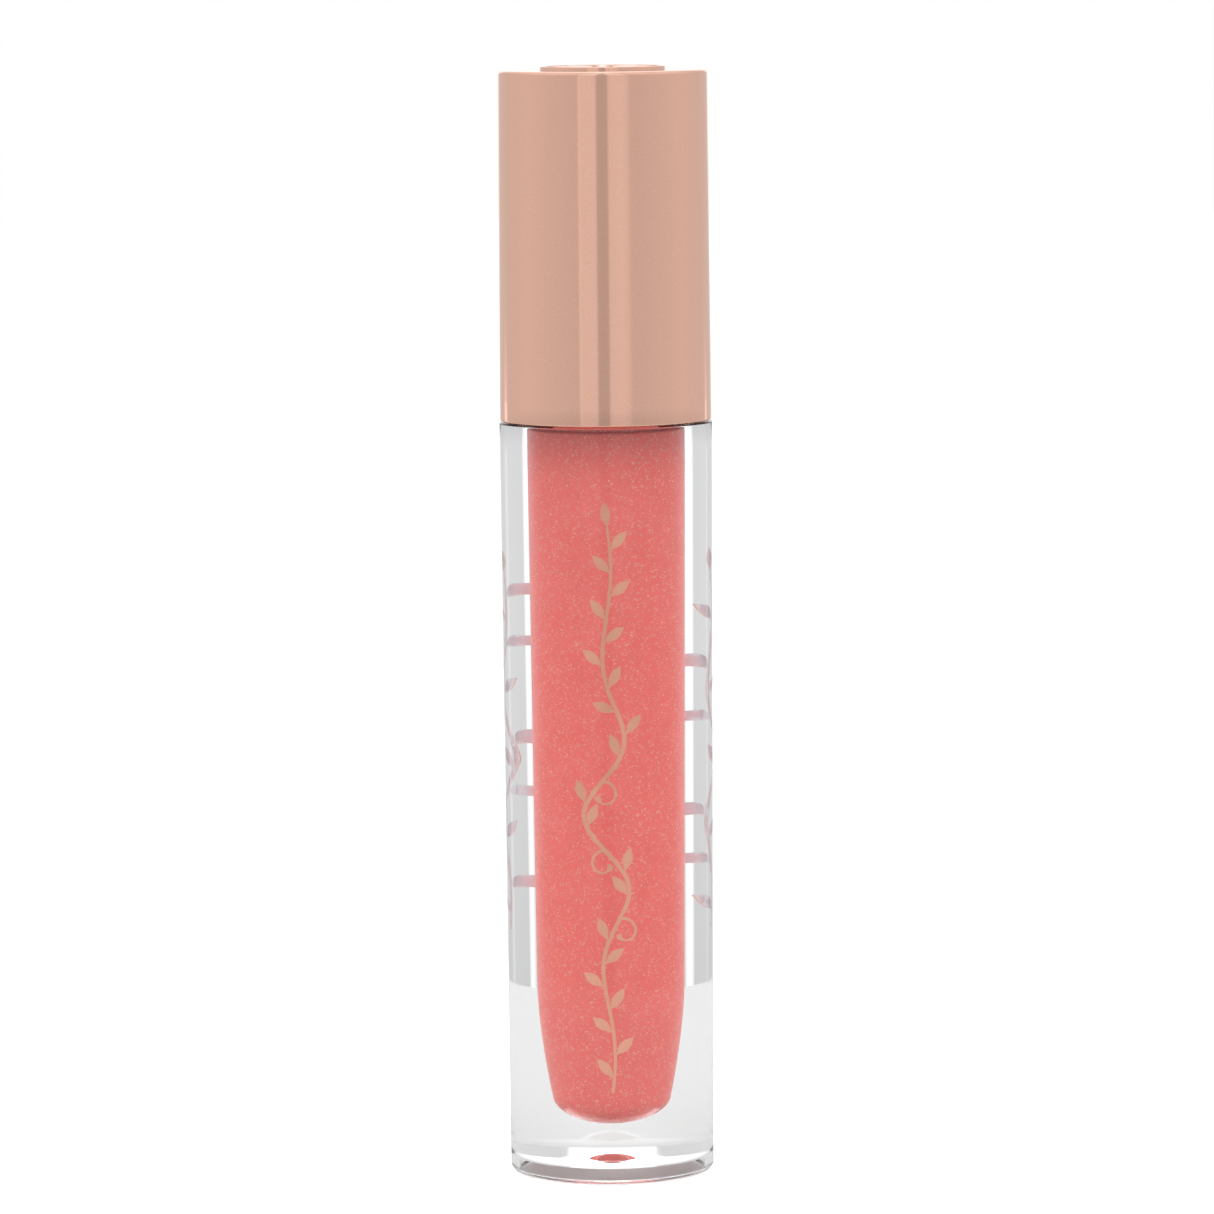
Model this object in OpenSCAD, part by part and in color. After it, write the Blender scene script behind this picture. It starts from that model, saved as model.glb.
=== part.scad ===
/* [Tube] */
// Height of the clear tube from its foot to its shoulder
tube_h = 70.6; // [56:0.2:90]
// Outer radius of the tube at its shoulder
tube_r = 10; // [9.6:0.1:12]
// How much smaller the outer radius is at the foot
tube_taper = 0.41; // [0:0.01:0.6]
// Rounding of the foot's outer edge
foot_round = 0.55; // [0.3:0.05:0.9]
// Width of the ring that the tube stands on
foot_w = 0.85; // [0.7:0.05:3]
// Depth of the hollow inside that ring
foot_depth = 1.4; // [0.6:0.1:2]
// Radius of the dimple left by the moulding gate
gate_r = 1.95; // [1:0.05:3]
// Depth of the gate dimple
gate_depth = 0.7; // [0.3:0.05:1]
// Rounding of the shoulder's outer edge
shoulder_round = 0.12; // [0.05:0.01:0.3]

/* [Cavity] */
// Radius of the gloss cavity just under the shoulder
cavity_r = 4.68; // [4.4:0.01:5.8]
// How much smaller that radius is where the straight part ends
cavity_taper = 0.3; // [0:0.01:0.5]
// Height of the cavity's floor above the foot
floor_z = 4.75; // [3.5:0.05:8]
// Height of the cavity's rounded end
end_h = 2.4; // [1.5:0.1:4]
// Height over which the cavity narrows towards that end
narrow_h = 10.8; // [6:0.1:16]
// How far the cavity narrows over that height
narrow_by = 0.9; // [0.3:0.02:1.4]
// How sharply it turns in: 1 is a cone, 2 a parabola
narrow_bend = 1.6; // [1.2:0.1:2.5]
// Depth of the cavity's top edge below the shoulder
cavity_drop = 0.7; // [0.5:0.05:2]

/* [Neck and thread] */
// Height of the neck above the shoulder
neck_h = 13; // [12:0.2:16]
// Radius of the bore through the neck
neck_bore_r = 4.3; // [4:0.05:5.2]
// Thickness of the neck's wall under the thread
neck_wall = 2; // [1.4:0.05:2.4]
// Height of the thread ridges on the neck
thread_depth = 0.7; // [0.5:0.05:0.9]
// Distance between neighbouring ridges
thread_pitch = 3; // [2.5:0.1:3.6]
// Number of thread starts
thread_starts = 2; // [1:1:2]
// Turns that each ridge makes
thread_turns = 1.1; // [0.8:0.05:1.3]
// Radial clearance between the ridges and the facing wall
thread_gap = 0.28; // [0.2:0.01:0.4]
// Clearance along the axis between the flanks that draw the cap down
flank_gap = 0.2; // [0.1:0.01:0.3]

/* [Wiper] */
// Radius of the wiper's flange on top of the neck
wiper_flange_r = 5.7; // [5.2:0.05:6.2]
// Thickness of that flange
wiper_flange_t = 0.8; // [0.5:0.05:1.2]
// Wall of the wiper's sleeve
wiper_wall = 0.8; // [0.5:0.05:1]
// Length of the wiper's straight sleeve below the flange
wiper_sleeve_h = 7.2; // [5:0.1:7.4]
// Length of the cone that narrows to the wiping lip
wiper_cone_h = 3.2; // [2:0.1:4]
// Length of the wiping lip
wiper_lip_h = 0.8; // [0.5:0.05:1.2]
// Radial clearance between the wiping lip and the flocked tip
wiper_gap = 0.2; // [0.1:0.01:0.4]

/* [Gloss] */
// Level of the gloss above the shoulder
gloss_level = 1.3; // [0:0.05:1.3]
// Clearance between the gloss and the applicator in it
gloss_gap = 0.35; // [0.2:0.01:0.6]

/* [Cap] */
// Height of the cap's shell
cap_h = 32.6; // [24:0.1:45]
// Gap between the tube's shoulder and the cap
cap_gap = 0.15; // [0.1:0.01:0.4]
// How far the cap's wall stands back from the tube's edge
cap_inset = 0.04; // [0:0.01:0.2]
// How much smaller the cap's radius is at its top
cap_taper = 0.17; // [0:0.01:0.4]
// Wall of the cap's shell
cap_wall = 1.3; // [1:0.05:1.6]
// Thickness of the cap's top
cap_top_t = 1.6; // [1.2:0.1:2.5]
// Rounding of the cap's top edge
cap_round = 0.4; // [0.2:0.05:0.8]
// Rounding of the cap's lower edge
cap_lip_round = 0.18; // [0.05:0.01:0.4]
// Number of ribs inside the cap that hold the insert down
cap_ribs = 6; // [3:1:10]
// Thickness of those ribs
cap_rib_t = 1; // [0.6:0.1:1.6]
// Depth of those ribs from the wall
cap_rib_w = 2.4; // [1:0.1:3]

/* [Rosette on the cap] */
// Outer radius of the raised ring
ring_r = 5.85; // [4:0.05:7]
// Width of the raised ring
ring_w = 0.5; // [0.3:0.05:1]
// Height of the ring and the rosette
relief_h = 0.35; // [0.2:0.05:0.6]
// Number of petals
petals = 8; // [5:1:12]
// Length of a petal
petal_l = 3.6; // [2.5:0.1:4.5]

/* [Insert and seal] */
// Thickness of the insert's top wall
insert_top_t = 1.6; // [1:0.1:2.2]
// How far the insert's skirt stands above the shoulder
insert_lift = 0.6; // [0.4:0.05:1.5]
// Thickness of the seal washer
washer_t = 0.8; // [0.5:0.05:1.2]
// Outer radius of the seal washer
washer_r = 6.2; // [5.8:0.05:6.4]
// Clearance above and below the seal washer
washer_gap = 0.04; // [0.02:0.01:0.1]

/* [Applicator] */
// Radius of the applicator's stem
stem_r = 1.9; // [1.6:0.05:2.3]
// Radius of the stem's root in the insert
root_r = 2.6; // [2.4:0.05:3.1]
// Length of the stem's root below the insert's top wall
root_l = 3; // [2:0.1:5]
// Radius of the stem's head
head_r = 4.6; // [3.6:0.1:5.5]
// Thickness of the stem's head
head_t = 1.2; // [0.8:0.1:2]
// Radius of the flocked tip
tip_r = 2.15; // [1.9:0.05:2.6]
// Length of the flocked tip
tip_l = 12.6; // [9:0.1:16]
// Thickness of the flock
flock_t = 0.42; // [0.3:0.01:0.6]
// Clearance between the tip and the cavity's floor
tip_lift = 3.9; // [3:0.1:6]
// Angle of the tip's slanted face from the axis
slant_deg = 14; // [8:1:20]
// Length of the bare collar above the flock
collar_l = 1.4; // [0.8:0.1:2.5]
// Radius of the core's shank inside the stem
shank_r = 1.1; // [0.8:0.05:1.3]
// Length of that shank
shank_l = 5; // [3:0.1:7]

/* [Foil ornaments] */
// Thickness of the foil
foil_t = 0.04; // [0.03:0.005:0.06]
// Width of the sprig's stalk
stalk_w = 0.42; // [0.3:0.02:0.6]
// Length of a leaf
leaf_l = 2.3; // [1.4:0.1:2.6]
// Width of a leaf
leaf_w = 0.95; // [0.5:0.05:1.2]
// Distance along the stalk from one leaf to the next, which sits on the other side
leaf_gap = 2.15; // [1.8:0.05:3]
// Length of one wave of the stalk
wave_l = 15; // [12:0.5:25]
// Radius of a tendril's curl
curl_r = 1.3; // [0.8:0.05:1.4]
// Height of the front ornament's lower end above the foot
front_z = 8; // [5:0.5:12]
// Height of the back ornament's lower end above the foot
back_z = 21; // [14:0.5:26]

/* [Hidden] */
$fn = 96;
step_deg = 12;
ease = 6;
far = 60;

foot_r = tube_r - tube_taper;
// The rounding leaves a flat to stand on
foot_edge = min(foot_round, foot_w - 0.25);
function wall_r(z) = foot_r + tube_taper * (z - foot_edge) / (tube_h - shoulder_round - foot_edge);
recess_r = foot_r - foot_w;
gate_ball = (gate_r * gate_r + gate_depth * gate_depth) / (2 * gate_depth);

low_r = cavity_r - cavity_taper;
end_r = low_r - narrow_by;
end_slope = narrow_bend * narrow_by / narrow_h;
end_axis = end_r + 0.02;
end_deg = atan(end_axis / (end_h * end_slope));
end_scale = end_r / (end_axis * sin(end_deg));
join_z = floor_z + end_h * (1 - cos(end_deg));
cavity_top = tube_h - cavity_drop;
cavity_round = min(0.3, cavity_r - neck_bore_r - 0.02);

neck_r = neck_bore_r + neck_wall;
neck_top = tube_h + neck_h;
lead = thread_pitch * thread_starts;
crest_w = 0.27 * thread_pitch;
base_w = 0.53 * thread_pitch;
insert_bore_r = neck_r + thread_depth + thread_gap;
insert_crest_r = neck_r + thread_gap;
thread_z = tube_h + 1.2 + base_w;
mate_shift = (crest_w + base_w) / 2 + flank_gap + 0.05;

washer_z = neck_top + wiper_flange_t + washer_gap;
insert_ceiling = washer_z + washer_t + washer_gap;
insert_top = insert_ceiling + insert_top_t;
cap_z = tube_h + cap_gap;
cap_r = tube_r - cap_inset;
cap_bore_r = cap_r - cap_wall;
cap_ceiling = cap_z + cap_h - cap_top_t;
cap_top = cap_z + cap_h;

tip_z = floor_z + tip_lift;
flock_top = tip_z + tip_l;
stem_z = flock_top + collar_l;
core_r = tip_r - flock_t;
face_x = 0.35 * tip_r;
orifice_r = tip_r + wiper_gap;
gloss_bore_r = tip_r + gloss_gap;
sleeve_r = neck_bore_r - wiper_wall;

// Points on an arc in a profile, from angle a to angle b
function arc(x, z, r, a, b, n = ease) = [
    for (i = [0:n]) [x + r * cos(a + (b - a) * i / n), z + r * sin(a + (b - a) * i / n)]
];

// The cavity's wall, from the middle of the floor up to the neck's bore
function cavity_wall() = concat(
    [for (i = [0:12]) let (a = end_deg * i / 12)
        [end_axis * end_scale * sin(a), floor_z + end_h * (1 - cos(a))]],
    [for (i = [1:10]) let (t = i / 10)
        [low_r - narrow_by * pow(1 - t, narrow_bend), join_z + narrow_h * t]],
    arc(cavity_r - cavity_round, cavity_top - cavity_round, cavity_round, 0, 90),
    [[neck_bore_r, cavity_top]]
);

// A thread ridge: sections along a helix, each a trapezium, with ends that run out
module ridge(root_r, crest_r, sink, z, from_deg, turns) {
    n = ceil(turns * 360 / step_deg);
    run = 3;
    function fade(i) = min(1, min(i, n - i) / run + 0.02);
    points = [
        for (i = [0:n])
            let (a = from_deg + i * step_deg, zc = z + lead * a / 360)
            let (crest = root_r + (crest_r - root_r) * fade(i))
            let (base = root_r + sink)
            for (p = [[base, -base_w / 2], [crest, -crest_w / 2], [crest, crest_w / 2], [base, base_w / 2]])
                [p[0] * cos(a), p[0] * sin(a), zc + p[1]]
    ];
    outward = crest_r > root_r;
    sides = [
        for (i = [0:n - 1], k = [0:3])
            let (a = 4 * i + k, b = 4 * i + (k + 1) % 4, c = b + 4, d = a + 4)
            for (t = [[a, b, c], [a, c, d]]) t
    ];
    ends = [[3, 2, 1], [3, 1, 0], [4 * n, 4 * n + 1, 4 * n + 2], [4 * n, 4 * n + 2, 4 * n + 3]];
    faces = concat(sides, ends);
    polyhedron(points, outward ? faces : [for (f = faces) [f[2], f[1], f[0]]]);
}

// All starts of a thread
module thread(root_r, crest_r, sink, z, from_deg) {
    for (s = [0:thread_starts - 1])
        rotate([0, 0, s * 360 / thread_starts])
            ridge(root_r, crest_r, sink, z, from_deg, thread_turns);
}

module vial() {
    color([0.9, 0.92, 0.93, 0.4]) {
        difference() {
            union() {
                rotate_extrude()
                    polygon(concat(
                        [[0, 0]],
                        arc(foot_r - foot_edge, foot_edge, foot_edge, -90, 0, 8),
                        arc(tube_r - shoulder_round, tube_h - shoulder_round, shoulder_round, 0, 90, 3),
                        [[neck_r, tube_h], [neck_r, neck_top - 0.3], [neck_r - 0.3, neck_top], [0, neck_top]]
                    ));
                thread(neck_r, neck_r + thread_depth, -0.2, thread_z, 0);
            }
            rotate_extrude()
                polygon(concat(cavity_wall(), [[neck_bore_r, neck_top + 1], [0, neck_top + 1]]));
            translate([0, 0, -1])
                cylinder(r = recess_r, h = foot_depth + 1);
            translate([0, 0, foot_depth + gate_depth - gate_ball])
                sphere(r = gate_ball);
        }
    }
}

module gloss_fill() {
    top = tube_h + gloss_level;
    color([0.9, 0.42, 0.4])
        difference() {
            rotate_extrude()
                polygon(concat(cavity_wall(), [[neck_bore_r, top], [0, top]]));
            translate([0, 0, tip_z])
                cylinder(r = gloss_bore_r, h = far + tube_h);
            translate([0, 0, tip_z])
                sphere(r = gloss_bore_r);
        }
}

module wiper() {
    sleeve_z = neck_top - wiper_sleeve_h;
    lip_z = sleeve_z - wiper_cone_h;
    low_z = lip_z - wiper_lip_h;
    lip_out = orifice_r + 0.45;
    color([0.93, 0.93, 0.9])
        rotate_extrude()
            polygon([
                [orifice_r, low_z],
                [lip_out, low_z],
                [lip_out, lip_z],
                [neck_bore_r, sleeve_z + 1],
                [neck_bore_r, neck_top],
                [wiper_flange_r, neck_top],
                [wiper_flange_r, neck_top + wiper_flange_t - 0.2],
                [wiper_flange_r - 0.2, neck_top + wiper_flange_t],
                [sleeve_r + 0.3, neck_top + wiper_flange_t],
                [sleeve_r, neck_top + wiper_flange_t - 0.3],
                [sleeve_r, sleeve_z],
                [orifice_r, lip_z]
            ]);
}

module overcap() {
    rib_z = insert_top;
    color([0.86, 0.65, 0.57]) {
        rotate_extrude()
            polygon(concat(
                [[cap_bore_r, cap_z + 0.4], [cap_bore_r + 0.3, cap_z]],
                arc(cap_r - cap_lip_round, cap_z + cap_lip_round, cap_lip_round, -90, 0, 4),
                arc(cap_r - cap_taper - cap_round, cap_top - cap_round, cap_round, 0, 90, 6),
                [[0, cap_top], [0, cap_ceiling], [cap_bore_r, cap_ceiling]]
            ));
        for (i = [0:cap_ribs - 1])
            rotate([0, 0, i * 360 / cap_ribs])
                translate([cap_bore_r - cap_rib_w, -cap_rib_t / 2, rib_z])
                    cube([cap_rib_w + 0.3, cap_rib_t, cap_ceiling - rib_z + 0.3]);
        translate([0, 0, cap_top - 0.2])
            rosette(relief_h + 0.2);
    }
}

// Raised ring with a ring of petals around a bud
module rosette(h) {
    difference() {
        cylinder(r = ring_r, h = h);
        translate([0, 0, -1])
            cylinder(r = ring_r - ring_w, h = h + 2);
    }
    for (i = [0:petals - 1])
        rotate([0, 0, i * 360 / petals])
            translate([1.15, 0, 0])
                linear_extrude(height = h)
                    leaf(petal_l, 1.3);
    cylinder(r = 0.7, h = h);
}

// A pointed leaf along +X, from the origin to its tip
module leaf(l, w) {
    r = (l * l / 4 + w * w / 4) / w;
    intersection() {
        translate([l / 2, w / 2 - r])
            circle(r = r);
        translate([l / 2, r - w / 2])
            circle(r = r);
    }
}

module threaded_insert() {
    skirt_z = tube_h + insert_lift;
    color([0.94, 0.93, 0.9]) {
        difference() {
            translate([0, 0, skirt_z])
                cylinder(r = cap_bore_r, h = insert_top - skirt_z);
            translate([0, 0, skirt_z - 1])
                cylinder(r = insert_bore_r, h = insert_ceiling - skirt_z + 1);
            cylinder(r = root_r, h = insert_top + 1);
        }
        thread(insert_bore_r, insert_crest_r, 0.2, thread_z - mate_shift + thread_pitch, 0);
    }
}

module seal_washer() {
    color([0.96, 0.96, 0.96])
        translate([0, 0, washer_z])
            difference() {
                cylinder(r = washer_r, h = washer_t);
                translate([0, 0, -1])
                    cylinder(r = root_r + 0.15, h = washer_t + 2);
            }
}

module applicator_stem() {
    root_z = insert_ceiling - root_l;
    color([0.95, 0.95, 0.94])
        difference() {
            rotate_extrude()
                polygon([
                    [0, stem_z],
                    [stem_r, stem_z],
                    [stem_r, root_z - 1.5],
                    [root_r, root_z],
                    [root_r, insert_top],
                    [head_r, insert_top],
                    [head_r, insert_top + head_t],
                    [0, insert_top + head_t]
                ]);
            translate([0, 0, stem_z - 1])
                cylinder(r = shank_r, h = shank_l + 1);
        }
}

// A round-ended rod of radius r from z upward, with a slanted face at its end
module paddle(r, z, top, face_x) {
    difference() {
        union() {
            translate([0, 0, z + r])
                sphere(r = r);
            translate([0, 0, z + r])
                cylinder(r = r, h = top - z - r);
        }
        translate([face_x, 0, tip_z + tip_r])
            rotate([0, slant_deg, 0])
                translate([0, -far / 2, -far / 2])
                    cube([far, far, far]);
    }
}

module core_paddle(top) {
    paddle(core_r, tip_z + flock_t, top, face_x - flock_t / cos(slant_deg));
}

module applicator_core() {
    color([0.95, 0.9, 0.88]) {
        core_paddle(flock_top);
        translate([0, 0, flock_top])
            cylinder(r = stem_r, h = collar_l);
        translate([0, 0, flock_top])
            cylinder(r = shank_r, h = collar_l + shank_l);
    }
}

module flocked_tip() {
    color([0.96, 0.8, 0.78])
        difference() {
            paddle(tip_r, tip_z, flock_top, face_x);
            core_paddle(flock_top + 1);
        }
}

// A skin as thick as the foil on the tube's wall
module foil_skin() {
    low = foot_edge + 0.1;
    high = tube_h - shoulder_round - 0.1;
    rotate_extrude()
        polygon([
            [wall_r(low), low],
            [wall_r(low) + foil_t, low],
            [wall_r(high) + foil_t, high],
            [wall_r(high), high]
        ]);
}

function turned(p, a) = [p[0] * cos(a) - p[1] * sin(a), p[0] * sin(a) + p[1] * cos(a)];
function upside_down(list) = [for (i = [len(list) - 1:-1:0]) list[i]];
function joined(lists) = [for (list = lists) for (p = list) p];

// A stalk s is [length, wave, swell in the middle]; t runs from 0 to 1 up it
function half_waves(s) = round(2 * s[0] / wave_l);
function sway(s, t) = (s[1] + s[2] * exp(-pow((t - 0.48) / 0.2, 2))) * sin(180 * half_waves(s) * t);
function lean(s, t) = atan((sway(s, t + 0.002) - sway(s, t - 0.002)) / (0.004 * s[0]));
function stalk_half(t) = 0.5 * stalk_w * (0.4 + 0.6 * sin(180 * min(1, 0.1 + 0.8 * t)));
function beside(s, t, off) = [sway(s, t) + off * cos(lean(s, t)), t * s[0] - off * sin(lean(s, t))];

// Outline of a leaf that leans over by a, from the lower corner of its foot to the upper one
function leaf_line(l, w, a) =
    let (half = [for (i = [0:7]) let (u = i / 8) [max(0.07, w / 2 * pow(sin(180 * u), 1.1)), l * u]])
    [for (p = concat(half, [[0, l]], [for (q = upside_down(half)) [-q[0], q[1]]])) turned(p, -a)];

// Outline of a tendril of radius r that curls over and in to a bud
function tendril_line(r) =
    let (n = 18, bud = 0.7 * stalk_w, cx = 0.6 * r, cz = -0.8 * r, a = [for (i = [0:n]) 127 - 235 * i / n])
    let (ray = [for (i = [0:n]) r * (1 - 0.5 * i / n)], half = [for (i = [0:n]) stalk_w * (0.34 - 0.16 * i / n)])
    let (end = [cx + ray[n] * cos(a[n]), cz + ray[n] * sin(a[n])])
    concat(
        [for (i = [0:n - 3]) [cx + (ray[i] - half[i]) * cos(a[i]), cz + (ray[i] - half[i]) * sin(a[i])]],
        [for (k = [0:10]) end + bud * [cos(a[n] + 140 + 26 * k), sin(a[n] + 140 + 26 * k)]],
        [for (i = [n - 3:-1:0]) [cx + (ray[i] + half[i]) * cos(a[i]), cz + (ray[i] + half[i]) * sin(a[i])]]
    );

// One side of a stalk from bottom to top: every other node carries a leaf, or a tendril where it curls
function stalk_side(s, side, leaves, size, curls) = joined([
    for (i = [0:leaves - 1])
        let (t = i / leaves, mine = i > 0 && (i % 2 == 0 ? 1 : -1) == side)
        let (curled = len([for (c = curls) if (round(0.44 * leaves) + c == i) c]) > 0)
        let (shape = curled ? tendril_line(curl_r) : leaf_line(leaf_l * size, leaf_w * size, 46))
        let (foot = beside(s, t, side * (stalk_half(t) - 0.05)))
        concat(
            mine ? [for (p = shape) foot + turned([side * p[0], p[1]], -lean(s, t))] : [],
            [for (j = [1:4]) let (u = t + (j + 0.5) / (5 * leaves)) beside(s, u, side * stalk_half(u))]
        )
]);

// A sprig with leaves of the given size; curls says which nodes carry tendrils, counted from the bend
module sprig(s, size, curls) {
    leaves = round(s[0] / (leaf_gap * size));
    top = [for (p = leaf_line(leaf_l * size, leaf_w * size, 0)) beside(s, 1, 0) + turned(p, -lean(s, 1))];
    polygon(concat(
        stalk_side(s, 1, leaves, size, curls),
        top,
        upside_down(stalk_side(s, -1, leaves, size, curls))
    ));
}

module front_foil_sprig() {
    len = tube_h - front_z - 9;
    color([0.85, 0.62, 0.5])
        intersection() {
            foil_skin();
            translate([0, 0, front_z])
                rotate([90, 0, 0])
                    linear_extrude(height = far)
                        sprig([len, 0.3, 2.1], 1, [-3, 0, 3]);
        }
}

module back_foil_sprig() {
    len = (tube_h - back_z) * 0.7;
    color([0.85, 0.62, 0.5])
        intersection() {
            foil_skin();
            translate([0, 0, back_z])
                rotate([90, 0, 180])
                    linear_extrude(height = far)
                        sprig([len, 0.3, 0.8], 1.05, []);
        }
}

vial();
wiper();
gloss_fill();
front_foil_sprig();
back_foil_sprig();
overcap();
threaded_insert();
seal_washer();
applicator_stem();
applicator_core();
flocked_tip();
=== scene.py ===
import math

import bmesh
import bpy
from mathutils import Matrix, Vector


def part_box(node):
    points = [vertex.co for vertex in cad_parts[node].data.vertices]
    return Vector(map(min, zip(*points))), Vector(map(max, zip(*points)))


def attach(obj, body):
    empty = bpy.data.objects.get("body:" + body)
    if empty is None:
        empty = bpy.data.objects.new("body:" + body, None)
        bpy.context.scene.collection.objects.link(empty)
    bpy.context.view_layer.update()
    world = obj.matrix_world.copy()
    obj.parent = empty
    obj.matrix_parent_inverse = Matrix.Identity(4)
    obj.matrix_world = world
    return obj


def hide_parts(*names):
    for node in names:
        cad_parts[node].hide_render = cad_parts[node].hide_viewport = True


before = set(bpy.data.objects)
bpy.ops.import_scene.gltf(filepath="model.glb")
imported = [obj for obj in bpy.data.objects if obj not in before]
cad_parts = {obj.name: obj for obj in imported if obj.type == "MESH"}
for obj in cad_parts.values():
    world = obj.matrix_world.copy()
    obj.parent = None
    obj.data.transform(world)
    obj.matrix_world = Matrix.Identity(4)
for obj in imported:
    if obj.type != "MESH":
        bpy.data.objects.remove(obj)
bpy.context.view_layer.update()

MM = 0.001
TAU = 2 * math.pi

# ---------------------------------------------------------------- sizes, in millimetres

low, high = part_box("vial")
TUBE_R = high[0] / MM
NECK_TOP = high[2] / MM
NECK_H = 13.0
TUBE_H = NECK_TOP - NECK_H
FOOT_R = TUBE_R - 0.41
FOOT_ROUND = 0.55
SHOULDER_ROUND = 0.12
RECESS_R = FOOT_R - 0.85
RECESS_DEPTH = 1.4
GATE_R = 1.95
GATE_DEPTH = 0.7

CAVITY_R = 4.68
STRAIGHT_END_R = 4.38
FLOOR_Z = 4.75
END_H = 2.4
NARROW_H = 10.8
NARROW_BY = 0.9
NARROW_BEND = 1.6
CAVITY_TOP = TUBE_H - 0.7

NECK_BORE_R = 4.3
NECK_R = NECK_BORE_R + 2.0
THREAD_DEPTH = 0.7
THREAD_PITCH = 3.0
THREAD_STARTS = 2
THREAD_TURNS = 1.1
LEAD = THREAD_PITCH * THREAD_STARTS
CREST_W = 0.27 * THREAD_PITCH
BASE_W = 0.53 * THREAD_PITCH
THREAD_Z = TUBE_H + 1.2 + BASE_W
INSERT_BORE_R = NECK_R + THREAD_DEPTH + 0.28
INSERT_THREAD_Z = THREAD_Z - ((CREST_W + BASE_W) / 2 + 0.25) + THREAD_PITCH

GLOSS_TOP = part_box("gloss_fill")[1][2] / MM
CHANNEL_R = 2.5

low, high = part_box("overcap")
CAP_Z = low[2] / MM
CAP_TOP = high[2] / MM - 0.35
CAP_R = TUBE_R - 0.04
CAP_TOP_R = CAP_R - 0.17
CAP_BORE_R = CAP_R - 1.3
CAP_CEILING = CAP_TOP - 1.6
RELIEF_H = 0.35
RING_R = 5.85
RING_W = 0.5
PETALS = 8
PETAL_L = 3.6
PETAL_W = 1.3
PETAL_START = 1.15
BUD_R = 0.7
RIBS = 6
RIB_W = 1.0

low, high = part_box("threaded_insert")
INSERT_Z = low[2] / MM
INSERT_TOP = high[2] / MM
INSERT_CEILING = INSERT_TOP - 1.6
ROOT_R = 2.6

low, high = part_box("wiper")
WIPER_Z = low[2] / MM
WIPER_TOP = high[2] / MM
WIPER_FLANGE_R = 5.7
WIPER_WALL = 0.8
ORIFICE_R = 2.35
low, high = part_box("seal_washer")
WASHER_Z = low[2] / MM
WASHER_TOP = high[2] / MM
WASHER_R = 6.2
WASHER_HOLE_R = 2.75
low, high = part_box("applicator_stem")
STEM_Z = low[2] / MM
STEM_TOP = high[2] / MM
STEM_R = 1.9
HEAD_R = 4.6
ROOT_L = 3.0
SHANK_R = 1.1
SHANK_L = 5.0
low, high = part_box("flocked_tip")
TIP_Z = low[2] / MM
TIP_TOP = high[2] / MM
TIP_R = 2.15
FLOCK_T = 0.42
FLOCK_PILE = 0.22
SLANT = math.radians(14)
FACE_X = 0.35 * TIP_R

# ---------------------------------------------------------------- colour and shader helpers


def linear(hex_code, alpha=1.0):
    """An sRGB hex colour as the linear values that shaders take."""
    channels = [int(hex_code[i:i + 2], 16) / 255 for i in (0, 2, 4)]
    return tuple(c / 12.92 if c <= 0.04045 else ((c + 0.055) / 1.055) ** 2.4 for c in channels) + (alpha,)


def put(tree, kind, links=None, **settings):
    """Adds a node: settings are its properties or sockets, links feed its sockets."""
    node = tree.nodes.new(kind)
    for name, value in settings.items():
        if hasattr(node, name):
            setattr(node, name, value)
        else:
            node.inputs[name.replace("_", " ")].default_value = value
    for socket, source in (links or {}).items():
        tree.links.new(source, node.inputs[socket])
    return node


def new_material(name, **shader):
    """A material with one Principled shader, whose plain values are given by socket name."""
    mat = bpy.data.materials.new(name)
    mat.use_nodes = True
    tree = mat.node_tree
    bsdf = tree.nodes["Principled BSDF"]
    for socket, value in shader.items():
        bsdf.inputs[socket.replace("_", " ")].default_value = value
    return mat, tree, bsdf


# ---------------------------------------------------------------- mesh helpers


def arc(x, z, r, start, end, steps):
    """Points on an arc in a profile, angles in degrees."""
    turn = [math.radians(start + (end - start) * i / steps) for i in range(steps + 1)]
    return [(x + r * math.cos(a), z + r * math.sin(a)) for a in turn]


def rise(r, z0, z1, step):
    """Points up or down a straight wall, close enough together to carry a thread."""
    n = max(1, round(abs(z1 - z0) / step))
    return [(r, z0 + (z1 - z0) * i / n) for i in range(n + 1)]


def lathe(bm, profile, segments, shape=None):
    """Turns a closed profile of (radius, height) about the axis, with the solid to its left.

    A profile may begin and end on the axis. shape(r, z, angle) may move a point outward or inward.
    """
    rings = []
    for r, z in profile:
        if r < 1e-6:
            rings.append([bm.verts.new((0, 0, z * MM))])
            continue
        ring = []
        for i in range(segments):
            angle = TAU * i / segments
            radius = shape(r, z, angle) if shape else r
            ring.append(bm.verts.new((radius * math.cos(angle) * MM, radius * math.sin(angle) * MM, z * MM)))
        rings.append(ring)
    closed = profile[0][0] > 1e-6
    for k in range(len(rings) if closed else len(rings) - 1):
        a, b = rings[k], rings[(k + 1) % len(rings)]
        for i in range(segments):
            j = (i + 1) % segments
            if len(a) == 1 and len(b) == 1:
                continue
            if len(a) == 1:
                bm.faces.new((a[0], b[j], b[i]))
            elif len(b) == 1:
                bm.faces.new((a[i], a[j], b[0]))
            else:
                bm.faces.new((a[i], a[j], b[j], b[i]))


def box_prism(bm, x0, x1, y0, y1, z0, z1, turn):
    """A bar between two corners in millimetres, turned about the axis."""
    spin = Matrix.Rotation(turn, 4, "Z") @ Matrix.Translation(
        Vector(((x0 + x1) / 2, (y0 + y1) / 2, (z0 + z1) / 2)) * MM)
    size = Matrix.Diagonal((abs(x1 - x0) * MM, abs(y1 - y0) * MM, abs(z1 - z0) * MM, 1))
    bmesh.ops.create_cube(bm, size=1, matrix=spin @ size)


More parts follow.
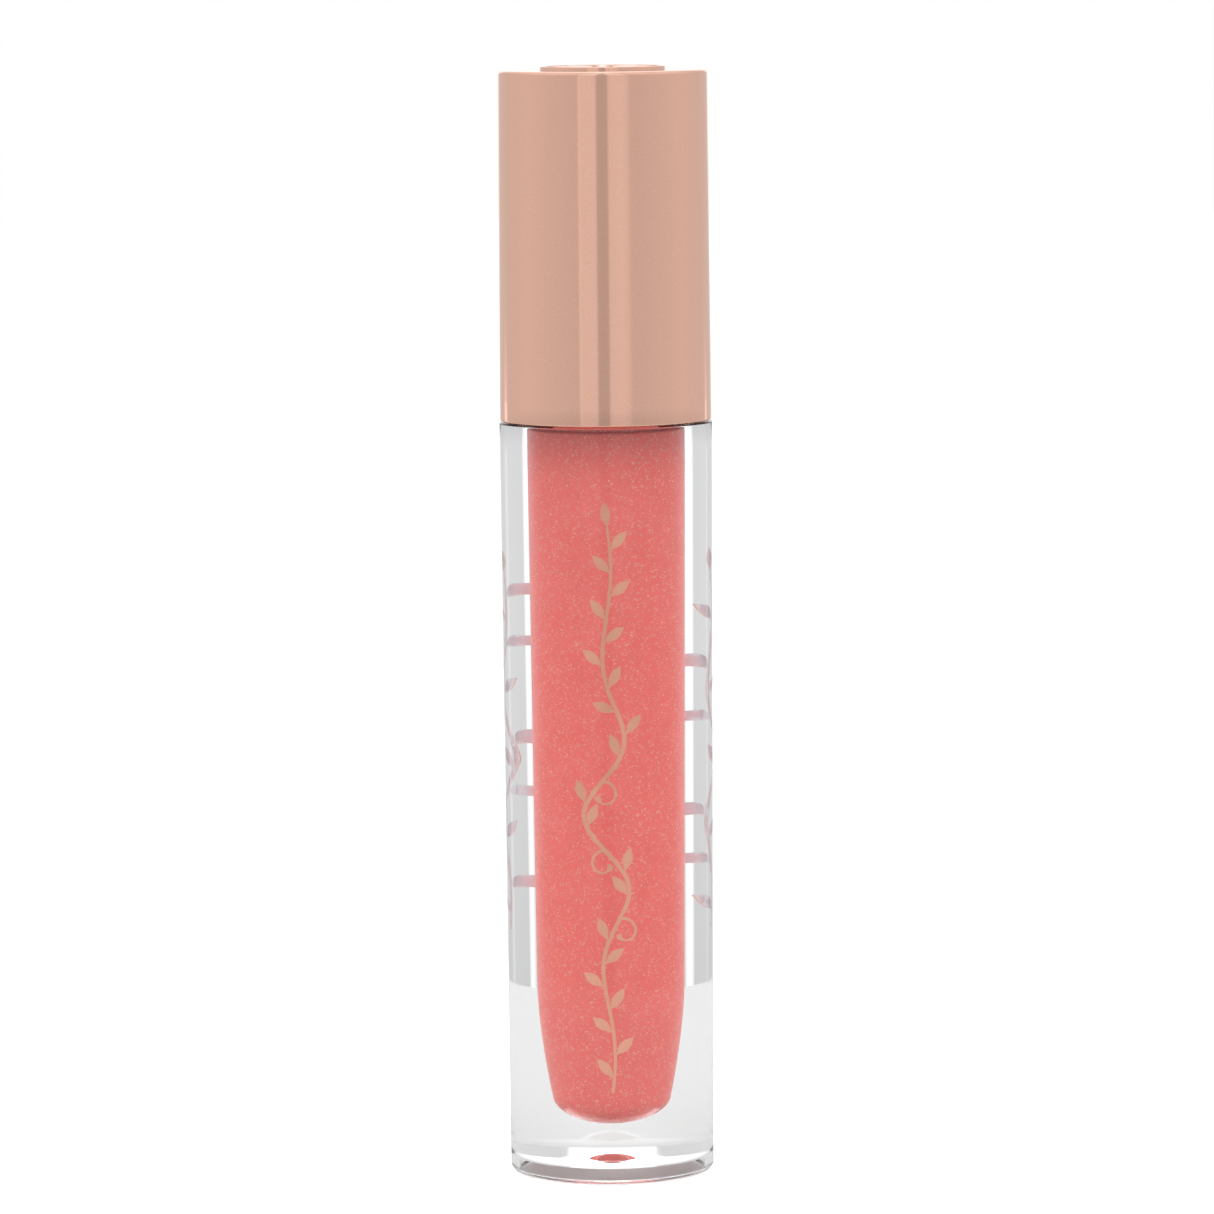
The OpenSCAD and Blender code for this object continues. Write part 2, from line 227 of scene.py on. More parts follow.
def finish_piece(name, bm, body, nodes, mat, sharp_deg=32):
    """Makes the mesh an object at the origin, shades it and hands it to the frame."""
    bmesh.ops.recalc_face_normals(bm, faces=bm.faces)
    mesh = bpy.data.meshes.new(name)
    bm.to_mesh(mesh)
    bm.free()
    mesh.shade_smooth()
    mesh.set_sharp_from_angle(angle=math.radians(sharp_deg))
    obj = bpy.data.objects.new(name, mesh)
    bpy.context.scene.collection.objects.link(obj)
    mesh.materials.append(mat)
    hand_over(obj, body, nodes)
    return obj


def hand_over(obj, body, nodes):
    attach(obj, body)
    if nodes:
        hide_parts(*nodes)


def ridge_height(angle, z, z0):
    """Share of the thread's depth at a place on the wall, for a thread whose first ridge starts at z0."""
    up = (z - z0) / LEAD - angle / TAU
    dz = (up - round(up * THREAD_STARTS) / THREAD_STARTS) * LEAD
    along = (z - dz - z0) / LEAD
    fade = min(1.0, along * 10, (THREAD_TURNS - along) * 10)
    if fade <= 0:
        return 0.0
    return fade * max(0.0, min(1.0, (BASE_W / 2 - abs(dz)) / ((BASE_W - CREST_W) / 2)))


# ---------------------------------------------------------------- materials

# Clear copolyester, injection moulded and polished: water-clear, with the faintest flow ripple
petg, tree, bsdf = new_material(
    "clear_copolyester_moulded", Base_Color=(0.985, 0.99, 0.99, 1), Roughness=0.0, IOR=1.57,
    Transmission_Weight=1.0)
coords = put(tree, "ShaderNodeTexCoord")
ripple = put(tree, "ShaderNodeTexNoise", {"Vector": coords.outputs["Object"]}, Scale=220.0, Detail=1.0)
bump = put(tree, "ShaderNodeBump", {"Height": ripple.outputs["Fac"]}, Strength=0.05, Distance=0.00002)
tree.links.new(bump.outputs["Normal"], bsdf.inputs["Normal"])

# Pigmented gloss base with fine pearl flakes: coral body, pale and golden specks
gloss, tree, bsdf = new_material(
    "coral_gloss_with_pearl", Roughness=0.35, IOR=1.47, Subsurface_Weight=0.0)
coords = put(tree, "ShaderNodeTexCoord")
cloud = put(tree, "ShaderNodeTexNoise", {"Vector": coords.outputs["Object"]}, Scale=350.0, Detail=3.0)
body_colour = put(tree, "ShaderNodeMixRGB", {"Fac": cloud.outputs["Fac"]},
                  Color1=linear("FA6A64"), Color2=linear("FF7973"))
# Real flakes are a few hundredths of a millimetre; these cells are 0.11 mm, so that they show
flakes = put(tree, "ShaderNodeTexVoronoi", {"Vector": coords.outputs["Object"]}, Scale=9000.0)
rare = put(tree, "ShaderNodeMapRange", {"Value": flakes.outputs["Color"]},
           From_Min=0.7, From_Max=0.95, To_Max=0.75)
glitter = put(tree, "ShaderNodeMixRGB",
              {"Fac": rare.outputs["Result"], "Color1": body_colour.outputs["Color"]},
              Color2=linear("FFC9AE"))
tree.links.new(glitter.outputs["Color"], bsdf.inputs["Base Color"])

# Hot-stamped foil: bright rose-gold lacquer over aluminium, so its back shows pale silver through the wall
foil, tree, bsdf = new_material("hot_stamped_rose_gold_foil", Metallic=1.0, Roughness=0.3)
coords = put(tree, "ShaderNodeTexCoord")
grain = put(tree, "ShaderNodeTexNoise", {"Vector": coords.outputs["Object"]}, Scale=2500.0, Detail=2.0)
tint = put(tree, "ShaderNodeMixRGB", {"Fac": grain.outputs["Fac"]},
           Color1=linear("EFA98F"), Color2=linear("F4B79E"))
across = put(tree, "ShaderNodeVectorMath", {0: coords.outputs["Object"]}, operation="MULTIPLY")
across.inputs[1].default_value = (1, 1, 0)
outward = put(tree, "ShaderNodeVectorMath", {0: across.outputs["Vector"], 1: coords.outputs["Normal"]},
              operation="DOT_PRODUCT")
front = put(tree, "ShaderNodeMath", {0: outward.outputs["Value"]}, operation="GREATER_THAN")
front.inputs[1].default_value = 0.0
two_sided = put(tree, "ShaderNodeMixRGB", {"Fac": front.outputs[0], "Color2": tint.outputs["Color"]},
                Color1=linear("F7F5FC"))
tree.links.new(two_sided.outputs["Color"], bsdf.inputs["Base Color"])

# ABS, vacuum metallised and lacquered: mirror-like rose gold with a fine satin grain in the lacquer
rose_gold, tree, bsdf = new_material("metallised_rose_gold_abs", Metallic=1.0, Roughness=0.09)
coords = put(tree, "ShaderNodeTexCoord")
grain = put(tree, "ShaderNodeTexNoise", {"Vector": coords.outputs["Object"]}, Scale=5000.0, Detail=2.0)
tint = put(tree, "ShaderNodeMixRGB", {"Fac": grain.outputs["Fac"]},
           Color1=linear("F1BDA6"), Color2=linear("F9C8B3"))
tree.links.new(tint.outputs["Color"], bsdf.inputs["Base Color"])
bump = put(tree, "ShaderNodeBump", {"Height": grain.outputs["Fac"]}, Strength=0.12, Distance=0.000004)
tree.links.new(bump.outputs["Normal"], bsdf.inputs["Normal"])


def milky_plastic(name, light, dark, roughness, scale):
    """Natural plastic or fibre as made: milky, with a faint satin unevenness."""
    mat, tree, bsdf = new_material(name, IOR=1.49)
    coords = put(tree, "ShaderNodeTexCoord")
    noise = put(tree, "ShaderNodeTexNoise", {"Vector": coords.outputs["Object"]}, Scale=scale, Detail=3.0)
    tint = put(tree, "ShaderNodeMixRGB", {"Fac": noise.outputs["Fac"]},
               Color1=linear(light), Color2=linear(dark))
    rough = put(tree, "ShaderNodeMapRange", {"Value": noise.outputs["Fac"]},
                To_Min=roughness - 0.05, To_Max=roughness + 0.05)
    tree.links.new(tint.outputs["Color"], bsdf.inputs["Base Color"])
    tree.links.new(rough.outputs["Result"], bsdf.inputs["Roughness"])
    return mat


insert_pp = milky_plastic("natural_polypropylene", "DEDCD6", "D6D3CB", 0.42, 900.0)
stem_pp = milky_plastic("smooth_white_polypropylene", "DBD9D5", "D5D2CC", 0.28, 600.0)
wiper_ldpe = milky_plastic("soft_low_density_polyethylene", "F1F0E8", "E6E4DA", 0.5, 1200.0)
liner_pe = milky_plastic("foamed_polyethylene_liner", "E2E2E0", "D8D8D5", 0.75, 5200.0)
core_tpe = milky_plastic("soft_polyester_elastomer", "F2E2DC", "E6D0C8", 0.55, 1500.0)
flock_nylon = milky_plastic("nylon_flock_wetted_with_gloss", "F3B9AE", "E58F84", 0.8, 2600.0)

# ---------------------------------------------------------------- clear tube and gloss


def cavity_wall():
    """The cavity's wall from the middle of its floor up to its top edge."""
    end_r = STRAIGHT_END_R - NARROW_BY
    slope = NARROW_BEND * NARROW_BY / NARROW_H
    axis = end_r + 0.02
    last = math.atan(axis / (END_H * slope))
    fit = end_r / (axis * math.sin(last))
    points = []
    for i in range(25):
        a = last * i / 24
        points.append((axis * fit * math.sin(a), FLOOR_Z + END_H * (1 - math.cos(a))))
    join_z = points[-1][1]
    for i in range(1, 33):
        t = i / 32
        points.append((STRAIGHT_END_R - NARROW_BY * (1 - t) ** NARROW_BEND, join_z + NARROW_H * t))
    start_z = points[-1][1]
    for i in range(1, 24):
        t = i / 24
        points.append((STRAIGHT_END_R + (CAVITY_R - STRAIGHT_END_R) * t,
                       start_z + (CAVITY_TOP - 0.3 - start_z) * t))
    return points + arc(CAVITY_R - 0.3, CAVITY_TOP - 0.3, 0.3, 0, 90, 8)


def gate_dome(steps):
    """The shallow dome left by the moulding gate, from its rim to the axis."""
    ball = (GATE_R ** 2 + GATE_DEPTH ** 2) / (2 * GATE_DEPTH)
    rim = math.asin(GATE_R / ball)
    centre_z = RECESS_DEPTH + GATE_DEPTH - ball
    turns = [rim * (1 - i / steps) for i in range(steps + 1)]
    return [(ball * math.sin(a), centre_z + ball * math.cos(a)) for a in turns]


def tube_profile():
    outside = arc(FOOT_R - FOOT_ROUND, FOOT_ROUND, FOOT_ROUND, -90, 0, 14)
    top = TUBE_H - SHOULDER_ROUND
    wall = [(FOOT_R + (TUBE_R - FOOT_R) * i / 24, FOOT_ROUND + (top - FOOT_ROUND) * i / 24)
            for i in range(1, 24)]
    shoulder = arc(TUBE_R - SHOULDER_ROUND, top, SHOULDER_ROUND, 0, 90, 5)
    neck = rise(NECK_R, TUBE_H, NECK_TOP - 0.3, 0.14)
    lip = [(NECK_R - 0.3, NECK_TOP), (NECK_BORE_R, NECK_TOP)]
    hollow = list(reversed(cavity_wall()))
    below = [(0.0, RECESS_DEPTH + GATE_DEPTH)] + list(reversed(gate_dome(10)))[1:]
    recess = [(RECESS_R, RECESS_DEPTH), (RECESS_R, 0.0)]
    return outside + wall + shoulder + neck + lip + [(NECK_BORE_R, CAVITY_TOP)] + hollow, below + recess


def tube_shape(r, z, angle):
    if abs(r - NECK_R) < 1e-6 and TUBE_H + 0.2 < z < NECK_TOP - 0.2:
        return r + THREAD_DEPTH * ridge_height(angle, z, THREAD_Z)
    return r


bm = bmesh.new()
upper, under = tube_profile()
# The cavity's floor and the foot's dome both end on the axis, so the profile is one open line
lathe(bm, under + upper, 160, tube_shape)
finish_piece("clear_tube", bm, "tube", ["vial"], petg, 40)

# The gloss wets the wall: it reaches this far into the clear plastic, so that no air shows between
SINK = 0.012
bm = bmesh.new()
wall = [(r + (SINK if r > 0 else 0), z - (SINK if z < FLOOR_Z + 1 else 0)) for r, z in cavity_wall()]
outer = wall[:-1] + [(CAVITY_R - 0.3, CAVITY_TOP + SINK), (NECK_BORE_R + SINK, CAVITY_TOP + SINK),
                     (NECK_BORE_R + SINK, GLOSS_TOP)]
channel = [(CHANNEL_R, GLOSS_TOP), (CHANNEL_R, TIP_Z)] + arc(0, TIP_Z, CHANNEL_R, 0, -90, 8)[1:]
channel[-1] = (0.0, TIP_Z - CHANNEL_R)
lathe(bm, outer + channel, 128)
finish_piece("gloss_column", bm, "tube", ["gloss_fill"], gloss)

# ---------------------------------------------------------------- cap


def cap_profile():
    lip = [(CAP_BORE_R, CAP_Z + 0.4), (CAP_BORE_R + 0.3, CAP_Z)]
    low_edge = arc(CAP_R - 0.18, CAP_Z + 0.18, 0.18, -90, 0, 6)
    top_edge = arc(CAP_TOP_R - 0.4, CAP_TOP - 0.4, 0.4, 0, 90, 10)
    side = [(CAP_R + (CAP_TOP_R - CAP_R) * i / 16, CAP_Z + 0.18 + (CAP_TOP - CAP_Z - 0.58) * i / 16)
            for i in range(1, 16)]
    face = [(CAP_TOP_R - 1.2, CAP_TOP), (RING_R + 0.4, CAP_TOP)]
    ring = arc(RING_R - 0.1, CAP_TOP + RELIEF_H - 0.1, 0.1, 0, 90, 4) + \
        arc(RING_R - RING_W + 0.1, CAP_TOP + RELIEF_H - 0.1, 0.1, 90, 180, 4)
    inner = [(RING_R - RING_W, CAP_TOP), (0.0, CAP_TOP)]
    hollow = [(0.0, CAP_CEILING), (CAP_BORE_R, CAP_CEILING)]
    return hollow, lip + low_edge + side + top_edge + face + [(RING_R, CAP_TOP)] + ring + inner


bm = bmesh.new()
hollow, outside = cap_profile()
lathe(bm, hollow + outside, 192)
for i in range(RIBS):
    box_prism(bm, CAP_BORE_R - 2.4, CAP_BORE_R + 0.3, -RIB_W / 2, RIB_W / 2,
              INSERT_TOP, CAP_CEILING + 0.3, TAU * i / RIBS)
finish_piece("metallised_cap", bm, "cap", ["overcap"], rose_gold)


def start_tree(name, sizes):
    """A Geometry Nodes tree with its inputs: sizes are (name, socket kind, usual value)."""
    tree = bpy.data.node_groups.new(name, "GeometryNodeTree")
    face = tree.interface
    face.new_socket("Geometry", in_out="INPUT", socket_type="NodeSocketGeometry")
    for size, kind, value in sizes:
        face.new_socket(size, in_out="INPUT", socket_type=kind).default_value = value
    face.new_socket("Material", in_out="INPUT", socket_type="NodeSocketMaterial")
    face.new_socket("Geometry", in_out="OUTPUT", socket_type="NodeSocketGeometry")
    return tree, put(tree, "NodeGroupInput")


def end_tree(tree, given, instances):
    """Makes the instances real, gives them the material and puts them out."""
    real = put(tree, "GeometryNodeRealizeInstances", {"Geometry": instances})
    dressed = put(tree, "GeometryNodeSetMaterial",
                  {"Geometry": real.outputs["Geometry"], "Material": given.outputs["Material"]})
    put(tree, "NodeGroupOutput", {"Geometry": dressed.outputs["Geometry"]})
    return tree


def petal_tree():
    """A ring of raised petals about a bud: sizes in metres, petals counted round."""
    tree, given = start_tree("petal_ring", (
        ("Petals", "NodeSocketInt", 8), ("Reach", "NodeSocketFloat", 0.003)))
    circle = put(tree, "GeometryNodeMeshCircle",
                 {"Vertices": given.outputs["Petals"], "Radius": given.outputs["Reach"]})
    spot = put(tree, "GeometryNodeInputPosition")
    facing = put(tree, "FunctionNodeAlignRotationToVector", {"Vector": spot.outputs["Position"]}, axis="X")
    ring = put(tree, "GeometryNodeInstanceOnPoints",
               {"Points": circle.outputs["Mesh"], "Instance": given.outputs["Geometry"],
                "Rotation": facing.outputs["Rotation"]})
    return end_tree(tree, given, ring.outputs["Instances"])


def bake_nodes(obj, tree, inputs, name):
    """Runs a node tree on an object and keeps the result as a plain mesh at the origin."""
    mod = obj.modifiers.new("nodes", "NODES")
    mod.node_group = tree
    for item in tree.interface.items_tree:
        if item.in_out == "INPUT" and item.name in inputs:
            mod[item.identifier] = inputs[item.name]
    graph = bpy.context.evaluated_depsgraph_get()
    graph.update()
    mesh = bpy.data.meshes.new_from_object(obj.evaluated_get(graph))
    bpy.data.objects.remove(obj)
    mesh.name = name
    made = bpy.data.objects.new(name, mesh)
    bpy.context.scene.collection.objects.link(made)
    return made


def petal_mesh(length, width, height):
    """One leaf-shaped petal with a soft crown, lying along +X."""
    bm = bmesh.new()
    steps, rows = 16, 5
    grid = []
    for i in range(steps + 1):
        u = i / steps
        half = width / 2 * math.sin(math.pi * min(1, max(0, u))) ** 0.8
        column = []
        for j in range(-rows, rows + 1):
            v = j / rows
            top = height * (1 - 0.45 * abs(v) ** 3)
            column.append(((u - 0.5) * length, v * half, top))
        grid.append(column)
    top = [[bm.verts.new(Vector(p) * MM) for p in col] for col in grid]
    low = [[bm.verts.new(Vector((p[0], p[1], -0.2)) * MM) for p in (col[0], col[-1])] for col in grid]
    for i in range(steps):
        for j in range(2 * rows):
            bm.faces.new((top[i][j], top[i + 1][j], top[i + 1][j + 1], top[i][j + 1]))
        bm.faces.new((low[i][0], low[i + 1][0], top[i + 1][0], top[i][0]))
        bm.faces.new((top[i][-1], top[i + 1][-1], low[i + 1][1], low[i][1]))
        bm.faces.new((low[i][1], low[i + 1][1], low[i + 1][0], low[i][0]))
    bmesh.ops.remove_doubles(bm, verts=bm.verts, dist=1e-7)
    bmesh.ops.recalc_face_normals(bm, faces=bm.faces)
    mesh = bpy.data.meshes.new("petal")
    bm.to_mesh(mesh)
    bm.free()
    mesh.shade_smooth()
    mesh.set_sharp_from_angle(angle=math.radians(40))
    return mesh


petal = bpy.data.objects.new("petal", petal_mesh(PETAL_L, PETAL_W, RELIEF_H))
bpy.context.scene.collection.objects.link(petal)
reach = (PETAL_START + PETAL_L / 2) * MM
rosette = bake_nodes(petal, petal_tree(), {"Petals": PETALS, "Reach": reach, "Material": rose_gold},
                     "rosette_petals")
rosette.data.transform(Matrix.Translation((0, 0, CAP_TOP * MM)))
hand_over(rosette, "cap", [])

bm = bmesh.new()
bud = [(0.0, CAP_TOP - 0.2), (BUD_R, CAP_TOP - 0.2)] + \
    arc(BUD_R - 0.15, CAP_TOP + RELIEF_H - 0.15, 0.15, 0, 90, 5) + [(0.0, CAP_TOP + RELIEF_H)]
lathe(bm, bud, 48)
finish_piece("rosette_bud", bm, "cap", [], rose_gold)

# ---------------------------------------------------------------- insert, seal and wiper


def insert_shape(r, z, angle):
    if abs(r - INSERT_BORE_R) < 1e-6 and INSERT_Z + 0.2 < z < INSERT_CEILING - 0.2:
        return r - THREAD_DEPTH * ridge_height(angle, z, INSERT_THREAD_Z)
    return r


bm = bmesh.new()
bore = list(reversed(rise(INSERT_BORE_R, INSERT_Z, INSERT_CEILING, 0.14)))[:-1]
profile = [(INSERT_BORE_R, INSERT_Z), (CAP_BORE_R - 0.2, INSERT_Z), (CAP_BORE_R, INSERT_Z + 0.2),
           (CAP_BORE_R, INSERT_TOP), (ROOT_R, INSERT_TOP), (ROOT_R, INSERT_CEILING)] + bore
lathe(bm, profile, 144, insert_shape)
finish_piece("threaded_insert_pp", bm, "cap", ["threaded_insert"], insert_pp, 40)

bm = bmesh.new()
soft = 0.12
profile = arc(WASHER_R - soft, WASHER_Z + soft, soft, -90, 0, 4) + \
    arc(WASHER_R - soft, WASHER_TOP - soft, soft, 0, 90, 4) + \
    arc(WASHER_HOLE_R + soft, WASHER_TOP - soft, soft, 90, 180, 4) + \
    arc(WASHER_HOLE_R + soft, WASHER_Z + soft, soft, 180, 270, 4)
lathe(bm, profile, 96)
finish_piece("liner_washer", bm, "seal", ["seal_washer"], liner_pe)

bm = bmesh.new()
sleeve_z = NECK_TOP - 7.2
lip_z = sleeve_z - 3.2
profile = arc(ORIFICE_R + 0.1, WIPER_Z + 0.1, 0.1, 180, 270, 4) + \
    [(ORIFICE_R + 0.45, WIPER_Z), (ORIFICE_R + 0.45, lip_z), (NECK_BORE_R, sleeve_z + 1),
     (NECK_BORE_R, NECK_TOP), (WIPER_FLANGE_R, NECK_TOP)] + \
    arc(WIPER_FLANGE_R - 0.2, WIPER_TOP - 0.2, 0.2, 0, 90, 5) + \
    arc(NECK_BORE_R - WIPER_WALL + 0.3, WIPER_TOP - 0.3, 0.3, 90, 180, 6) + \
    [(NECK_BORE_R - WIPER_WALL, sleeve_z), (ORIFICE_R, lip_z)]
lathe(bm, profile, 96)
finish_piece("wiper_plug", bm, "tube", ["wiper"], wiper_ldpe)

# ---------------------------------------------------------------- applicator

bm = bmesh.new()
root_z = INSERT_CEILING - ROOT_L
profile = [(SHANK_R, STEM_Z), (STEM_R, STEM_Z), (STEM_R, root_z - 1.5)] + \
    arc(ROOT_R - 0.3, root_z, 0.3, -30, 0, 4) + [(ROOT_R, INSERT_TOP), (HEAD_R, INSERT_TOP)] + \
    arc(HEAD_R - 0.3, STEM_TOP - 0.3, 0.3, 0, 90, 5) + [(0.0, STEM_TOP)]
lathe(bm, [(0.0, STEM_Z + SHANK_L), (SHANK_R, STEM_Z + SHANK_L)] + profile, 96)
finish_piece("applicator_rod", bm, "cap", ["applicator_stem"], stem_pp)


def doe_foot(bm, r, z, top, face_x, segments=72, rows=48):
    """A round-ended rod whose end is sliced off at a slant."""
    rings = []
    for k in range(rows + 1):
        t = k / rows
        height = z + (top - z) * t ** 1.4
        if height < z + r:
            radius = math.sqrt(max(0.0, r * r - (z + r - height) ** 2))
        else:
            radius = r
        plane = face_x + (height - (TIP_Z + TIP_R)) * math.tan(SLANT)
        ring = []
        for i in range(segments):
            a = TAU * i / segments
            x, y = radius * math.cos(a), radius * math.sin(a)
            if x > plane:
                x = plane
            ring.append((x, y, height))
        rings.append(ring)
    made = [[bm.verts.new(Vector(p) * MM) for p in ring] for ring in rings[1:]]
    bottom = bm.verts.new(Vector((min(0.0, rings[0][0][0]), 0, z)) * MM)
    for i in range(segments):
        bm.faces.new((bottom, made[0][(i + 1) % segments], made[0][i]))
    for a, b in zip(made, made[1:]):
        for i in range(segments):
            j = (i + 1) % segments
            bm.faces.new((a[i], a[j], b[j], b[i]))
    bm.faces.new(made[-1])


bm = bmesh.new()
lathe(bm, [(0.0, TIP_TOP - 0.5), (STEM_R - 0.2, TIP_TOP - 0.5), (STEM_R, TIP_TOP), (STEM_R, STEM_Z),
           (SHANK_R, STEM_Z), (SHANK_R, STEM_Z + SHANK_L), (0.0, STEM_Z + SHANK_L)], 72)
doe_foot(bm, TIP_R - FLOCK_T, TIP_Z + FLOCK_T, TIP_TOP, FACE_X - FLOCK_T / math.cos(SLANT))
finish_piece("applicator_core_tpe", bm, "cap", ["applicator_core"], core_tpe)

bm = bmesh.new()
doe_foot(bm, TIP_R - FLOCK_PILE, TIP_Z + FLOCK_PILE, TIP_TOP - 0.1, FACE_X - FLOCK_PILE)
coat = finish_piece("flock_coat", bm, "cap", ["flocked_tip"], flock_nylon, 60)


def pile_tree():
    """Short fibres standing on a coat: sizes in metres, fibres counted to the square metre."""
    tree, given = start_tree("flock_pile", (
        ("Density", "NodeSocketFloat", 4.0e7), ("Pile", "NodeSocketFloat", 0.0002),
        ("Fibre Radius", "NodeSocketFloat", 0.00002), ("Seed", "NodeSocketInt", 7)))
    spots = put(tree, "GeometryNodeDistributePointsOnFaces",
                {"Mesh": given.outputs["Geometry"], "Density": given.outputs["Density"],
                 "Seed": given.outputs["Seed"]})
    fibre = put(tree, "GeometryNodeMeshCone", {"Radius Bottom": given.outputs["Fibre Radius"],
                                               "Depth": given.outputs["Pile"]}, Vertices=3)
    ring = put(tree, "GeometryNodeInstanceOnPoints",
               {"Points": spots.outputs["Points"], "Instance": fibre.outputs["Mesh"],
                "Rotation": spots.outputs["Rotation"]})
    return end_tree(tree, given, ring.outputs["Instances"])


ground = bpy.data.objects.new("flock_ground", coat.data.copy())
bpy.context.scene.collection.objects.link(ground)
pile = bake_nodes(ground, pile_tree(), {"Pile": (FLOCK_PILE - 0.02) * MM, "Material": flock_nylon},
                  "flock_fibres")
hand_over(pile, "cap", [])

# ---------------------------------------------------------------- foil on the tube

for node_name in ("front_foil_sprig", "back_foil_sprig"):
    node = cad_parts[node_name]
    for slot in node.material_slots:
        slot.material = foil

# ---------------------------------------------------------------- studio

CAM_PLACE = Vector((-0.79, -612.0, 116.9)) * MM
PITCH, YAW, ROLL = math.radians(5.95), math.radians(0.07), math.radians(-0.53)
forward = Vector((math.sin(YAW) * math.cos(PITCH), math.cos(YAW) * math.cos(PITCH), -math.sin(PITCH)))
right = Vector((math.cos(YAW), -math.sin(YAW), 0))
up = right.cross(forward)
side = math.cos(ROLL) * right + math.sin(ROLL) * up
top = -math.sin(ROLL) * right + math.cos(ROLL) * up
camera = bpy.data.cameras.new("camera")
camera.sensor_width = 36.0
camera.lens = 36.0 * 6563 / 1214
camera.clip_start = 0.01
camera.clip_end = 20
view = bpy.data.objects.new("camera", camera)
view.matrix_world = Matrix((
    (side.x, top.x, -forward.x, CAM_PLACE.x),
    (side.y, top.y, -forward.y, CAM_PLACE.y),
    (side.z, top.z, -forward.z, CAM_PLACE.z),
    (0, 0, 0, 1)))
bpy.context.scene.collection.objects.link(view)
bpy.context.scene.camera = view
bpy.context.scene.view_settings.view_transform = "Standard"

# Turn from the camera's side in degrees, positive to the right, and the studio's brightness that way:
# a dark gap between two soft boxes in front, grey walls at the sides, a white sheet behind
STUDIO_RING = (
    (-180, 1.10), (-162, 1.10), (-160, 0.68), (-135, 0.69), (-90, 0.74), (-35, 0.66), (-27.5, 0.65),
    (-27, 0.86), (-24, 0.79), (-8.2, 0.79), (-7.8, 0.54), (4.8, 0.54), (5.2, 0.77), (20, 0.80), (27, 0.74),
    (29, 0.655), (40, 0.655), (90, 0.73), (135, 0.69), (160, 0.68), (162, 1.10), (180, 1.10))
# Two low white cards behind, which line the gloss on either side
CARD_RING = ((-180, 0), (-143, 0), (-141, 1), (-135.5, 1), (-134, 0),
             (136.7, 0), (138.2, 1), (141, 1), (143, 0), (180, 0))


def round_the_horizon(tree, share, stops, top):
    """A ramp of brightness by compass turn, as shares of the top one."""
    ramp = put(tree, "ShaderNodeValToRGB", {"Fac": share})
    while len(ramp.color_ramp.elements) < len(stops):
        ramp.color_ramp.elements.new(0.5)
    for stop, (degrees, strength) in zip(ramp.color_ramp.elements, stops):
        stop.position = (degrees + 180) / 360
        stop.color = (strength / top, strength / top, strength / top, 1)
    return ramp.outputs["Color"]


world = bpy.data.worlds.new("studio")
world.use_nodes = True
bpy.context.scene.world = world
tree = world.node_tree
tree.nodes.clear()
facing = put(tree, "ShaderNodeTexCoord")
part = put(tree, "ShaderNodeSeparateXYZ", {"Vector": facing.outputs["Generated"]})
away = put(tree, "ShaderNodeMath", {0: part.outputs["Y"]}, operation="MULTIPLY")
away.inputs[1].default_value = -1.0
turn = put(tree, "ShaderNodeMath", {0: part.outputs["X"], 1: away.outputs[0]}, operation="ARCTAN2")
share = put(tree, "ShaderNodeMapRange", {"Value": turn.outputs[0]}, From_Min=-math.pi, From_Max=math.pi)
ring = round_the_horizon(tree, share.outputs["Result"], STUDIO_RING, 1.2)
cards = round_the_horizon(tree, share.outputs["Result"], CARD_RING, 1.0)
seen = put(tree, "ShaderNodeLightPath")
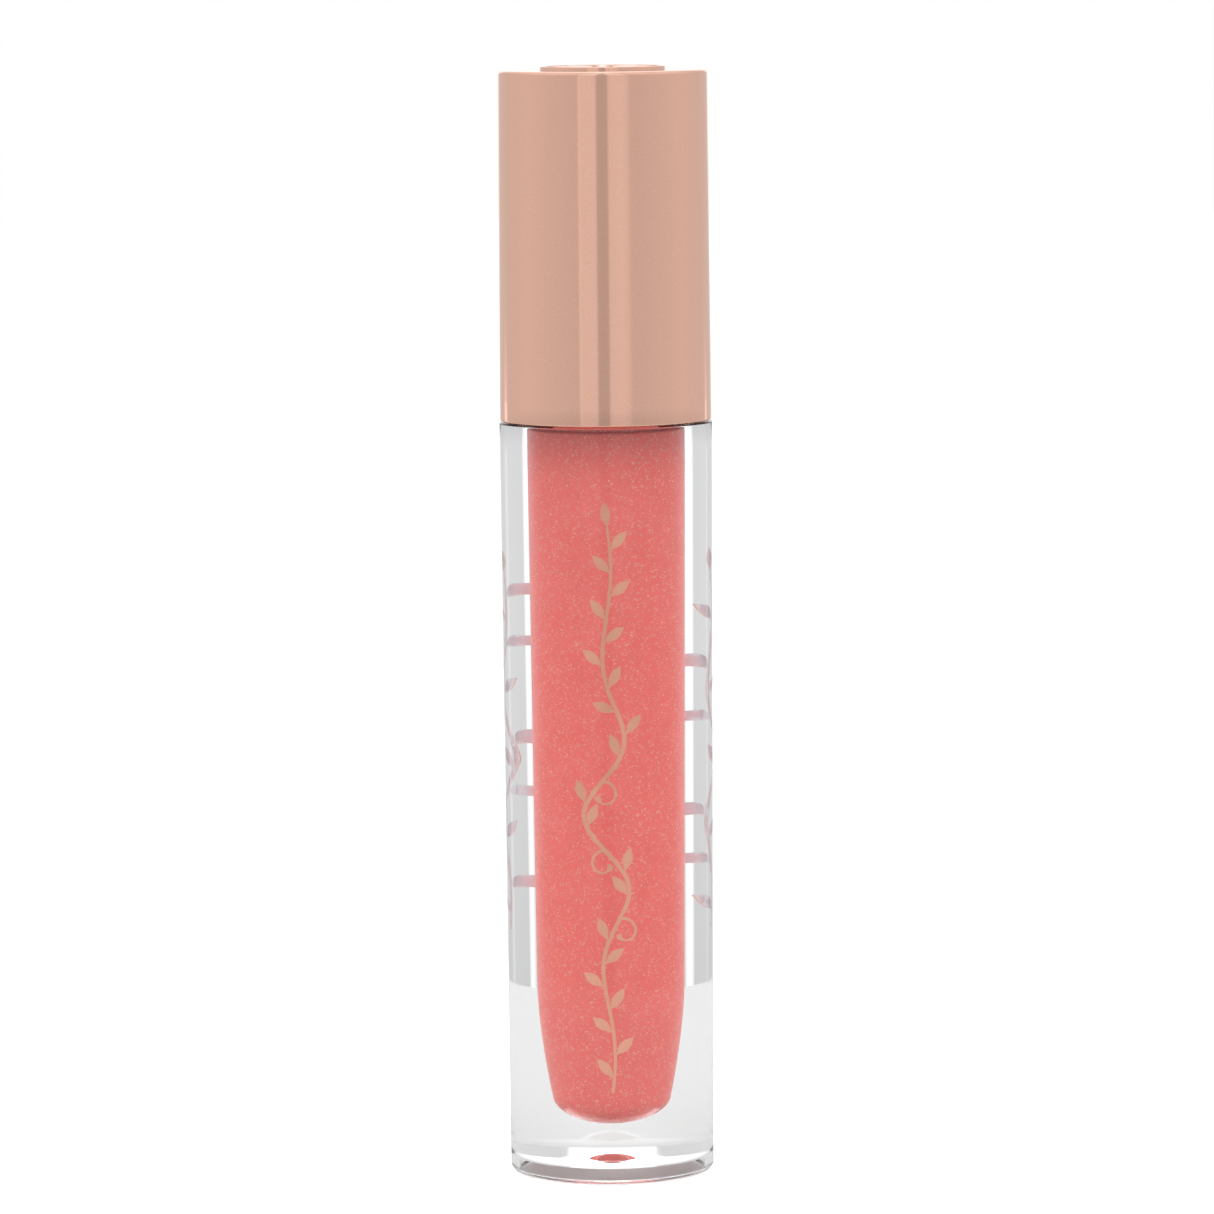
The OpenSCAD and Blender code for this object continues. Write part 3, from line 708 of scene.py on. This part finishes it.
# The light overhead fills the gloss and the stand; metal mirrors it through a diffuser, so it is dimmer there
mirrored = put(tree, "ShaderNodeMath",
               {0: seen.outputs["Is Glossy Ray"], 1: seen.outputs["Is Reflection Ray"]}, operation="MULTIPLY")
lamp = put(tree, "ShaderNodeMapRange", {"Value": mirrored.outputs[0]}, To_Min=5.7, To_Max=1.5)
overhead = put(tree, "ShaderNodeMapRange", {"Value": part.outputs["Z"], "To Max": lamp.outputs["Result"]},
               From_Min=0.3, From_Max=0.7, To_Min=1.2)
low_dim = put(tree, "ShaderNodeMapRange", {"Value": part.outputs["Z"]}, From_Min=-0.165, From_Max=-0.1,
              To_Min=0.87, To_Max=1.0)
level = put(tree, "ShaderNodeMath", {0: overhead.outputs["Result"], 1: low_dim.outputs["Result"]},
            operation="MULTIPLY")
card_top = put(tree, "ShaderNodeMapRange", {"Value": part.outputs["Z"]}, From_Min=-0.075, From_Max=-0.06,
               To_Min=0.45, To_Max=0.0)
walls = put(tree, "ShaderNodeBackground", {"Color": ring, "Strength": level.outputs[0]})
card_light = put(tree, "ShaderNodeBackground", {"Color": cards, "Strength": card_top.outputs["Result"]})
studio = put(tree, "ShaderNodeAddShader", {0: walls.outputs[0], 1: card_light.outputs[0]})
backdrop = put(tree, "ShaderNodeBackground", Color=(1, 1, 1, 1), Strength=1.0)
both = put(tree, "ShaderNodeMixShader",
           {0: seen.outputs["Is Camera Ray"], 1: studio.outputs[0], 2: backdrop.outputs[0]})
put(tree, "ShaderNodeOutputWorld", {"Surface": both.outputs[0]})


def paper_disc(name, radius, height, mat):
    bm = bmesh.new()
    bmesh.ops.create_circle(bm, cap_ends=True, segments=96, radius=radius,
                            matrix=Matrix.Translation((0, 0, height)))
    mesh = bpy.data.meshes.new(name)
    bm.to_mesh(mesh)
    bm.free()
    obj = bpy.data.objects.new(name, mesh)
    bpy.context.scene.collection.objects.link(obj)
    mesh.materials.append(mat)
    return obj


# What the tube reflects and refracts is a stand a hand across, painted mid-grey as painted shade for the dim
# light on the table around and under the tube; what the camera sees is the floor on it
# Painted shade: the stand's grey stands in for shade on a white table, a darker copy of the white floor
stand_painted_shade, tree, bsdf = new_material("stand_grey_painted_shade", Base_Color=linear("989898"), Roughness=0.6)
stand = paper_disc("stand", 0.115, -0.0003, stand_painted_shade)
stand.visible_camera = False
floor_white, tree, bsdf = new_material("matt_white_floor", Base_Color=linear("F6F6F6"), Roughness=0.9,
                                       Emission_Color=(1, 1, 1, 1), Emission_Strength=0.25)
floor = paper_disc("floor", 2.0, -0.0001, floor_white)
for way in ("visible_diffuse", "visible_glossy", "visible_transmission", "visible_shadow"):
    setattr(floor, way, False)

bpy.context.view_layer.update()
